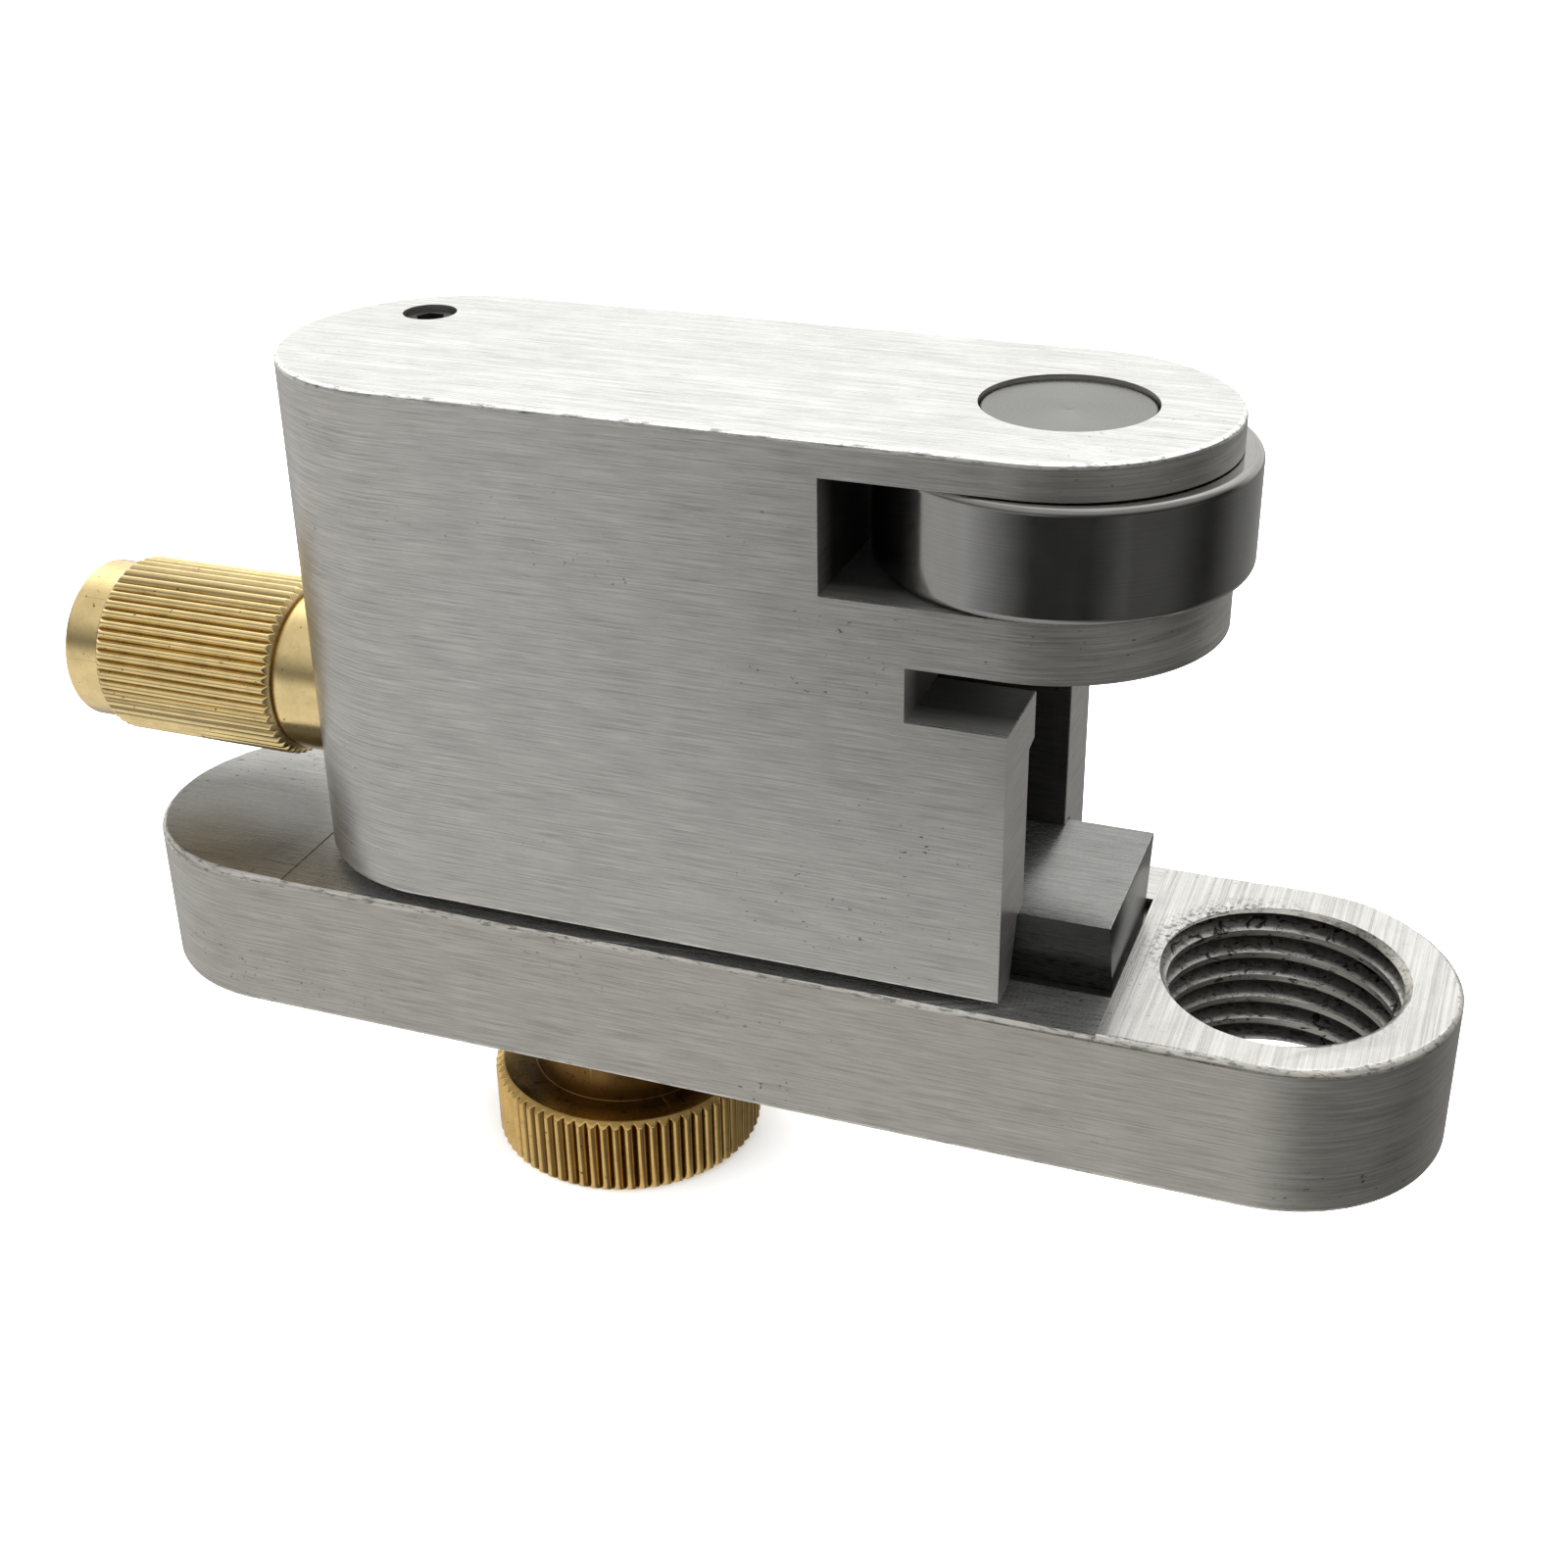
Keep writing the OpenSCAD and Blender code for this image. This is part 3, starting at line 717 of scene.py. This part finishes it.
def thread_profile(crest, root, pitch):
    """(height, radius) across one pitch, from the middle of a crest to the next."""
    step = 0.06 * (root - crest)
    points = [(0.0, crest), (0.115, crest), (0.14, crest + step)]
    points += [(0.42, root - step), (0.44, root), (0.56, root), (0.58, root - step)]
    points += [(0.86, crest + step), (0.885, crest), (1.0, crest)]
    return [(z * pitch, r) for z, r in points]


def skin_rows(radius, z0, z1, lower, upper):
    """Rows for stadium(): a lower edge rounded by lower millimetres, the wall, and an upper edge
    whose points are (inwards, down, share of wobble)."""
    rows = [(radius - lower, z0, 0), (radius - 0.3 * lower, z0 + 0.3 * lower, 0)]
    rows += [(radius, z0 + lower, 0), (radius, z0 + lower + 0.05, 0)]
    return rows + [(radius - inwards, z1 - down, share) for inwards, down, share in upper]


def build_base_plate(material):
    """Plate with a skimmed top, pocket, slot and tool thread."""
    z0, z1 = plate.lo.z, plate.hi.z
    edge = [(0, 0.55, 0), (0, 0.50, 0), (0.10, 0.30, 0.3), (0.40, 0.04, 1), (0.50, 0, 1), (0.55, 0, 1)]
    body = stadium(PLATE_X0, 0.0, skin_rows(PLATE_R, z0, z1, 0.40, edge), chamfer_wobble)
    skimmed = z1 - RELIEF_DEPTH
    relief = prism([(RELIEF_X0, z1 - RELIEF_START), (RELIEF_X0 + RELIEF_RUN, skimmed),
                    (STEP_X, skimmed), (STEP_X, z1 + 1), (RELIEF_X0, z1 + 1)])
    pocket = box((POCKET_X0, -POCKET_W / 2, POCKET_Z), (STEP_X, POCKET_W / 2, z1 + 1))
    slot_r = STUD_R + SLOT_PLAY
    slot = stadium(STUD_X - COARSE_TRAVEL, STUD_X, [(slot_r, z0 - 1, 0), (slot_r, z1 + 1, 0)])
    thread = thread_profile(THREAD_R, THREAD_ROOT_R, THREAD_PITCH)
    screw = helix(thread, THREAD_PITCH, z0 - 0.5, z1 + 0.5)
    throat = THREAD_R - 0.05
    cone = MOUTH_DEPTH + 0.2
    upper_mouth = lathe([(0, z1 - cone), (throat, z1 - MOUTH_DEPTH), (MOUTH_R, z1),
                         (MOUTH_R, z1 + 1), (0, z1 + 1)])
    lower_mouth = lathe([(0, z0 - 1), (MOUTH_R, z0 - 1), (MOUTH_R, z0),
                         (throat, z0 + MOUTH_DEPTH), (0, z0 + cone)])
    bm = boolean(body, [relief, pocket, slot, screw, upper_mouth, lower_mouth])
    mesh_object("base_plate_body", bm, material, "base", "base_plate")


def block_section():
    """Section of the block's hollow: (y, z) points around the channel, the slot and the neck."""
    top = RAIL_TOP + 0.05
    right = [(CHANNEL_MOUTH_HALF, block.lo.z - 1), (CHANNEL_TOP_HALF, top), (SLOT_HALF, top),
             (SLOT_HALF, SLOT_Z1), (NECK_HALF, NECK_Z0), (NECK_HALF, NOTCH_Z0 + 0.05)]
    return right + [(-y, z) for y, z in right[::-1]]


def hole(centre, r, z0, z1, steps=128):
    """Upright round tool at the (x, y) of centre."""
    return moved(disc(r, z0, z1, steps=steps), (centre.x, centre.y, 0))


def build_block(material):
    """Block with its hollow, window, notch and holes."""
    z0, z1 = block.lo.z, block.hi.z
    edge = [(0, 0.42, 0), (0, 0.37, 0), (0.08, 0.16, 0.10), (0.30, 0.02, 0.3), (0.36, 0, 0.3),
            (0.42, 0, 0.3)]
    body = stadium(BLOCK_X0, BLOCK_X1, skin_rows(BLOCK_R, z0, z1, 0.30, edge), chamfer_wobble)
    hollow = beam(SLOT_X0, CHEEK_X + PAST, block_section())
    cheek = box((CHEEK_X, -PAST, z0 - 1), (PAST, PAST, NOTCH_Z1))
    notch = box((NOTCH_X, -PAST, NOTCH_Z0), (PAST, PAST, NOTCH_Z1))
    window = box((WINDOW_X, -PAST, WINDOW_Z0), (PAST, PAST, WINDOW_Z1))
    head = hole(ring.mid, PIN_HEAD_R + 0.04, WINDOW_Z1 - 0.5, z1 + 1)
    shank = hole(ring.mid, HUB_BORE_R, NOTCH_Z1 - 0.5, WINDOW_Z0 + 0.5)
    bore = moved(disc(JOURNAL_R + 0.05, block.lo.x - 2, SLOT_X0 + 0.05), (0, 0, SCREW_Z), TO_X)
    pin_hole = hole(retainer.mid, RETAINER_HOLE_R, retainer.lo.z - 0.2, z1 + 1, 48)
    grub_hole = hole(grub.mid, GRUB_HOLE_R, grub.lo.z - 0.5, z1 + 1, 48)
    bm = boolean(body, [hollow, cheek, notch, window, head, shank, bore, pin_hole, grub_hole])
    mesh_object("block_body", bm, material, "head_block", "block")


def build_guide_bar(material):
    """Tapered rail and its lug, with a bore along X and the stud's hole from below."""
    section = [(-RAIL_LOW_HALF, bar.lo.z), (RAIL_LOW_HALF, bar.lo.z),
               (RAIL_TOP_HALF, RAIL_TOP), (-RAIL_TOP_HALF, RAIL_TOP)]
    rail = beam(bar.lo.x, bar.hi.x, section)
    lug = box((STUD_X - LUG_HALF_L, -LUG_HALF_W, RAIL_TOP - 1),
              (STUD_X + LUG_HALF_L, LUG_HALF_W, bar.hi.z))
    bm = boolean(rail, [lug], "UNION")
    soften(bm, 0.12)
    bore = disc(LUG_BORE_R, STUD_X - LUG_HALF_L - 1, STUD_X + LUG_HALF_L + 1, steps=96)
    moved(bore, (0, 0, SCREW_Z), TO_X)
    stud_hole = hole(stud.mid, STUD_R + 0.05, bar.lo.z - 1, stud.hi.z + 0.6, 64)
    bm = boolean(bm, [bore, stud_hole])
    mesh_object("guide_bar_body", bm, material, "carriage", "guide_bar")


def ring_profile(r0, r1, round0, round1):
    """Closed section of a bearing ring from radius r0 to r1, with each side's edge rounding;
    heights count from the middle."""
    half = ring.size.z / 2
    outer = rounded_corner(r1, -half, round1, -1, 6) + rounded_corner(r1, half, round1, 1, 6)
    inner = [(r0 + round0, half), (r0, half - round0), (r0, -half + round0), (r0 + round0, -half)]
    return outer + inner


def bearing_ring(profile):
    """Ring of the bearing, its ball track cut by a torus."""
    arc = [(TRACK_PITCH_R + TRACK_R * math.cos(TURN * i / 32), TRACK_R * math.sin(TURN * i / 32))
           for i in range(32)]
    bm = boolean(lathe(profile, 192, closed=True), [lathe(arc, 192, closed=True)])
    return moved(bm, (ROLLER_X, 0, ring.mid.z))


def build_bearing(outer_metal, inner_metal):
    """Outer ring, which is the roller, and inner ring."""
    tyre = bearing_ring(ring_profile(TYRE_BORE_R, ROLLER_R, 0.2, 0.6))
    mesh_object("roller_tyre", tyre, outer_metal, "roller", "roller_outer_ring")
    hub = bearing_ring(ring_profile(HUB_BORE_R, HUB_R, 0.3, 0.2))
    mesh_object("roller_hub", hub, inner_metal, "head_block", "roller_inner_ring")


def build_pin(material):
    """Faced pin head with a centre pip."""
    r = PIN_HEAD_R - 0.08
    shank_r = HUB_BORE_R - PIN_PLAY
    top = pin.hi.z
    points = [(0, pin.lo.z), (shank_r - 0.25, pin.lo.z), (shank_r, pin.lo.z + 0.25),
              (shank_r, WINDOW_Z1), (r, WINDOW_Z1)]
    points += rounded_corner(r, top, 0.22, 1)
    points += [(0.75, top), (0.45, top - 0.05), (0.2, top - 0.12), (0, top - 0.14)]
    bm = moved(lathe(points, 192), (ROLLER_X, 0, 0))
    mesh_object("roller_pin_turned", bm, material, "head_block", "roller_pin", 25)


def tooth(r, depth, count):
    """Radius of a straight knurl at an angle: rounded crests and sharp valleys."""
    def at(a):
        return r - depth * (1 - abs(math.sin(a * count / 2)))
    return at


def knurl_points(r, taper, power, z0, z1, count):
    """Knurled stretch of a lathe profile whose ends curve in by taper over half a millimetre."""
    shares = [i / count for i in range(count + 1)]
    points = [(r - taper * (1 - t) ** power, z0 + 0.5 * t, True) for t in shares]
    return points + [(r - taper * t ** power, z1 - 0.5 * (1 - t), True) for t in shares]


def build_knob(material):
    """Rim, knurled barrel and journal with its groove, turned in one piece."""
    x = knob.lo.x
    end = knob.hi.x
    points = [(0, x)]
    points += rounded_corner(KNOB_RIM_R, x, 0.30, -1, 5)
    points += [(KNOB_RIM_R, KNURL_X0 - 0.12), (KNOB_RIM_R - 0.12, KNURL_X0 - 0.08),
               (KNOB_RIM_R - 0.12, KNURL_X0)]
    points += knurl_points(KNOB_R, KNOB_TAPER, 1.5, KNURL_X0, KNURL_X1, 6)
    points += [(JOURNAL_R - 0.12, KNURL_X1 + 0.05), (JOURNAL_R - 0.04, KNURL_X1 + 0.35),
               (JOURNAL_R, KNURL_X1 + 0.8)]
    groove = retainer.mid.x
    points += [(JOURNAL_R, groove - GROOVE_HALF - 0.05), (GROOVE_R, groove - GROOVE_HALF),
               (GROOVE_R, groove + GROOVE_HALF), (JOURNAL_R, groove + GROOVE_HALF + 0.05)]
    points += [(JOURNAL_R, end - 0.3), (JOURNAL_R - 0.3, end), (0, end)]
    bm = lathe(points, 600, tooth(KNOB_R, 0.42, 50))
    bm = moved(bm, (0, 0, SCREW_Z), TO_X)
    core = moved(disc(KNOB_CORE_R, lead.lo.x, end + 1, steps=48), (0, 0, SCREW_Z), TO_X)
    bm = boolean(bm, [core])
    mesh_object("adjusting_knob_turned", bm, material, "fine_adjuster", "adjusting_knob",
                40)


def build_thumb_screw(material):
    """Knurled head with bevelled faces and a plain boss."""
    z0 = thumb.lo.z
    face_r = THUMB_R - THUMB_TAPER - 0.05
    points = [(0, z0), (face_r, z0)]
    points += knurl_points(THUMB_R, THUMB_TAPER, 1.3, z0, THUMB_TOP, 8)
    points += [(face_r, THUMB_TOP), (BOSS_R + 0.05, THUMB_TOP), (BOSS_R, THUMB_TOP + 0.05)]
    points += rounded_corner(BOSS_R, thumb.hi.z, 0.25, 1)
    points.append((0, thumb.hi.z))
    bm = moved(lathe(points, 680, tooth(THUMB_R, 0.5, 68)), (STUD_X, 0, 0))
    bm = boolean(bm, [hole(stud.mid, STUD_R, stud.lo.z, 1, 64)])
    mesh_object("thumb_screw_turned", bm, material, "clamp_screw", "thumb_screw_head",
                40)


def threaded(r, z0, z1, others=()):
    """Screw of the fine pitch that ends in a plain round tip, joined to other solids."""
    thread = thread_profile(r, r - FINE_DEPTH, FINE_PITCH)
    screw = helix(thread, FINE_PITCH, z0, z1 - FINE_DEPTH, 64)
    tip = disc(r - TIP_IN, z1 - TIP_L, z1, 0.0, 0.3, 64)
    return boolean(screw, [tip, *others], "UNION")


def build_lead_screw(material):
    """Plain end inside the knob, then the thread."""
    start = knob.hi.x
    plain = disc(KNOB_CORE_R - 0.01, lead.lo.x, start + 0.5, 0.1, 0.0, 64)
    bm = threaded(LEAD_R, start, lead.hi.x, [plain])
    moved(bm, (0, 0, SCREW_Z), TO_X)
    mesh_object("lead_screw_threaded", bm, material, "fine_adjuster", "lead_screw")


def build_stud(material):
    """Threaded stud of the thumb screw."""
    bm = moved(threaded(STUD_R, stud.lo.z, stud.hi.z), (STUD_X, 0, 0))
    mesh_object("thumb_screw_stud_threaded", bm, material, "clamp_screw", "thumb_screw_stud")


def dress(node, material):
    """Finish on a CAD node that is shown as it is."""
    obj = frame["nodes"][node]
    obj.data.materials.clear()
    obj.data.materials.append(material)


# ---------------------------------------------------------------- stage, light and camera

def glowing(s, tone, glow, **extra):
    """Matt material of a tone that also shines white by glow."""
    return s.finish(s.grey(tone), 0.9, metallic=0.0, Emission_Color=colour4((1, 1, 1)),
                    Emission_Strength=glow, **extra)


def build_stage():
    """Round floor that bends up into a wall, with the thumb screw standing on it."""
    floor_z = thumb.lo.z
    points = [(0, floor_z), (300, floor_z), (FLOOR_FLAT_R, floor_z)]
    for i in range(1, 13):
        a = math.pi / 2 * i / 12
        points.append((FLOOR_FLAT_R + FLOOR_BEND_R * math.sin(a),
                       floor_z + FLOOR_BEND_R * (1 - math.cos(a))))
    points.append((FLOOR_FLAT_R + FLOOR_BEND_R, FLOOR_WALL_Z))
    s = Shader("studio_floor")
    tone = s.span(s.noise((0.01, 0.01, 0.01), detail=2.0), 0.3, 0.7, 0.90, 0.94)
    distance = s.distance(s.math("SUBTRACT", s.axis("X"), STUD_X), s.axis("Y"))
    # Painted shadow: the floor's glow drops close to the thumb screw.
    glow = s.span(distance, FLOOR_PAINTED_SHADOW_R, FLOOR_FAR_R, FLOOR_PAINTED_SHADOW, FLOOR_FAR)
    floor = shown("studio_floor", lathe(points, 96), glowing(s, tone, glow))
    floor.visible_glossy = False
    floor.visible_shadow = False


def build_light():
    """Weak square light overhead, turned to the part."""
    light = bpy.data.lights.new("overhead", "AREA")
    light.size = LIGHT_SIZE * MM
    light.energy = LIGHT_POWER
    obj = bpy.data.objects.new("overhead", light)
    obj.location = Vector(LIGHT_PLACE) * MM
    towards = Vector(LIGHT_TARGET) - Vector(LIGHT_PLACE)
    obj.rotation_euler = towards.to_track_quat("-Z", "Y").to_euler()
    bpy.context.scene.collection.objects.link(obj)


def build_world():
    """Light tent: bright overhead and behind, less so at the front left, dark at the front right."""
    world = bpy.data.worlds.new("studio")
    world.use_nodes = True
    bpy.context.scene.world = world
    tree = world.node_tree
    background = tree.nodes["Background"]
    coordinates = tree.nodes.new("ShaderNodeTexCoord")
    parts = tree.nodes.new("ShaderNodeSeparateXYZ")
    tree.links.new(coordinates.outputs["Generated"], parts.inputs[0])

    def facing(direction):
        """Cosine of the angle between the view's direction and this one."""
        node = tree.nodes.new("ShaderNodeVectorMath")
        node.operation = "DOT_PRODUCT"
        tree.links.new(coordinates.outputs["Generated"], node.inputs[0])
        node.inputs[1].default_value = Vector(direction).normalized()
        return node.outputs["Value"]

    def ramp(value, low, high, out_low, out_high):
        """Smooth passage from out_low to out_high as the value goes from low to high."""
        node = tree.nodes.new("ShaderNodeMapRange")
        node.interpolation_type = "SMOOTHSTEP"
        tree.links.new(value, node.inputs[0])
        for i, number in enumerate((low, high, out_low, out_high)):
            node.inputs[i + 1].default_value = number
        return node.outputs[0]

    def combine(operation, a, b):
        """Result of one operation on two sockets."""
        node = tree.nodes.new("ShaderNodeMath")
        node.operation = operation
        tree.links.new(a, node.inputs[0])
        tree.links.new(b, node.inputs[1])
        return node.outputs[0]

    overhead = ramp(parts.outputs["Z"], 0.05, 0.75, 0.0, WORLD_TOP)
    back = ramp(facing((-0.25, 1.0, 0.20)), 0.25, 0.78, 0.0, WORLD_BACK)
    above_floor = ramp(parts.outputs["Z"], -0.25, 0.05, 0.12, 1.0)
    side = ramp(facing((0.90, -0.43, -0.05)), 0.30, 0.75, WORLD_FRONT, WORLD_DARK)
    behind_low = ramp(facing((0.3, 1.0, -0.3)), 0.1, 0.6, 1.0, 0.30)
    front_above = ramp(parts.outputs["Z"], -0.15, 0.25, 1.0, 0.15)
    low = combine("MULTIPLY", combine("MULTIPLY", side, behind_low), front_above)
    strength = combine("ADD", low, combine("ADD", overhead, combine("MULTIPLY", back, above_floor)))
    tree.links.new(strength, background.inputs["Strength"])
    background.inputs["Color"].default_value = (1.0, 0.99, 0.965, 1)


def build_card():
    """Card seen only in reflections, a painted dark reflection in front of the roller; its ends glow
    as bright as the tent there, a painted reflection of the tent."""
    bm = bmesh.new()
    corners = [(CARD_X0, CARD_Y, CARD_Z0), (CARD_X1, CARD_Y, CARD_Z0),
               (CARD_X1, CARD_Y, CARD_Z1), (CARD_X0, CARD_Y, CARD_Z1)]
    bm.faces.new([bm.verts.new(corner) for corner in corners])
    s = Shader("painted_reflection_card")
    tone = s.span(s.noise((0.05, 0.05, 0.05), detail=2.0), 0.3, 0.7, 0.01, 0.02)
    # Painted reflection: the card glows towards its ends as brightly as the tent beside it.
    glow = s.math("ADD", s.span(s.axis("X"), CARD_X0 + 3, -22.0, WORLD_FRONT, 0.02),
                  s.span(s.axis("X"), 25.0, CARD_X1, 0.0, WORLD_DARK))
    card = shown("painted_reflection_card", bm, glowing(s, tone, glow, Specular_IOR_Level=0.0))
    card.visible_camera = False
    card.visible_diffuse = False
    card.visible_shadow = False


def build_camera():
    """Camera at the photograph's viewing angle."""
    data = bpy.data.cameras.new("camera")
    data.lens = CAMERA_LENS
    data.sensor_width = CAMERA_SENSOR
    data.clip_start = 0.005
    camera = bpy.data.objects.new("camera", data)
    bpy.context.scene.collection.objects.link(camera)
    turn = Matrix.Rotation(math.radians(CAMERA_AZIMUTH), 4, "Z")
    tilt = Matrix.Rotation(math.radians(90 - CAMERA_ELEVATION), 4, "X")
    roll = Matrix.Rotation(math.radians(CAMERA_ROLL), 4, "Z")
    camera.matrix_world = Matrix.Translation(Vector(CAMERA_PLACE) * MM) @ turn @ tilt @ roll
    bpy.context.scene.camera = camera


# ---------------------------------------------------------------- the scene

# Each brushed metal takes a darker side tint and a lighter top tint: painted shade on sides and painted
# light on tops.
plate_metal = brushed("plate_metal", (0.405, 0.393, 0.363), (0.54, 0.54, 0.525), 0.34, cross=STEP_X,
                      hollow=plate_hollow_shade, marks=thread_marks, shade_and_stain=knob_shade_and_stain, pit_level=0.675)
block_metal = brushed("block_metal", (0.44, 0.43, 0.41), (0.65, 0.66, 0.645), 0.34,
                      hollow=block_hollow_shade, pit_level=0.705)
bar_metal = brushed("bar_metal", (0.06, 0.062, 0.06), (0.22, 0.225, 0.22), 0.32)
tyre_metal = turned("tyre_metal", (0.30, 0.30, 0.29), 0.15, (ROLLER_X, 0, 0), lines=9.0, strength=0.04)
hub_metal = turned("hub_metal", (0.40, 0.40, 0.40), 0.16, (ROLLER_X, 0, 0), lines=9.0, strength=0.05)
pin_metal = turned("pin_metal", (0.205, 0.21, 0.198), 0.26, (ROLLER_X, 0, 0), lines=5.0, strength=0.25,
                   sheen=0.7)
screw_metal = turned("screw_metal", (0.38, 0.38, 0.385), 0.3, (0, 0, SCREW_Z), axis="X", strength=0.1)
ball_metal = turned("ball_metal", (0.5, 0.5, 0.5), 0.08, (ROLLER_X, 0, 0), lines=2.0, strength=0.02)
cage_metal = pressed("cage_metal", (0.48, 0.48, 0.47), 0.32)
shield_metal = pressed("shield_metal", (0.34, 0.34, 0.34), 0.28)
knob_metal = brass("knob_metal", (0.97, 0.76, 0.38), (0.17, 0.09, 0.03), 0.15, 0.55)
thumb_metal = brass("thumb_metal", (0.80, 0.53, 0.19), (0.09, 0.04, 0.012), 0.17, 0.8)
nut_metal = brass("nut_metal", (0.66, 0.47, 0.20), (0.12, 0.07, 0.02), 0.28, 0.6)
grub_metal = oxide("grub_metal")

build_base_plate(plate_metal)
build_block(block_metal)
build_guide_bar(bar_metal)
build_bearing(tyre_metal, hub_metal)
build_pin(pin_metal)
build_knob(knob_metal)
build_thumb_screw(thumb_metal)
build_lead_screw(screw_metal)
build_stud(screw_metal)
dress("lead_nut", nut_metal)
dress("roller_balls", ball_metal)
for part in ("cage_upper", "cage_lower", "cage_rivets"):
    dress("roller_" + part, cage_metal)
for part in ("shield_upper", "shield_lower", "shim_upper", "shim_lower"):
    dress("roller_" + part, shield_metal)
dress("retaining_pin", hub_metal)
dress("grub_screw", grub_metal)

build_stage()
build_card()
build_world()
build_light()
build_camera()
bpy.context.scene.view_settings.view_transform = "Standard"
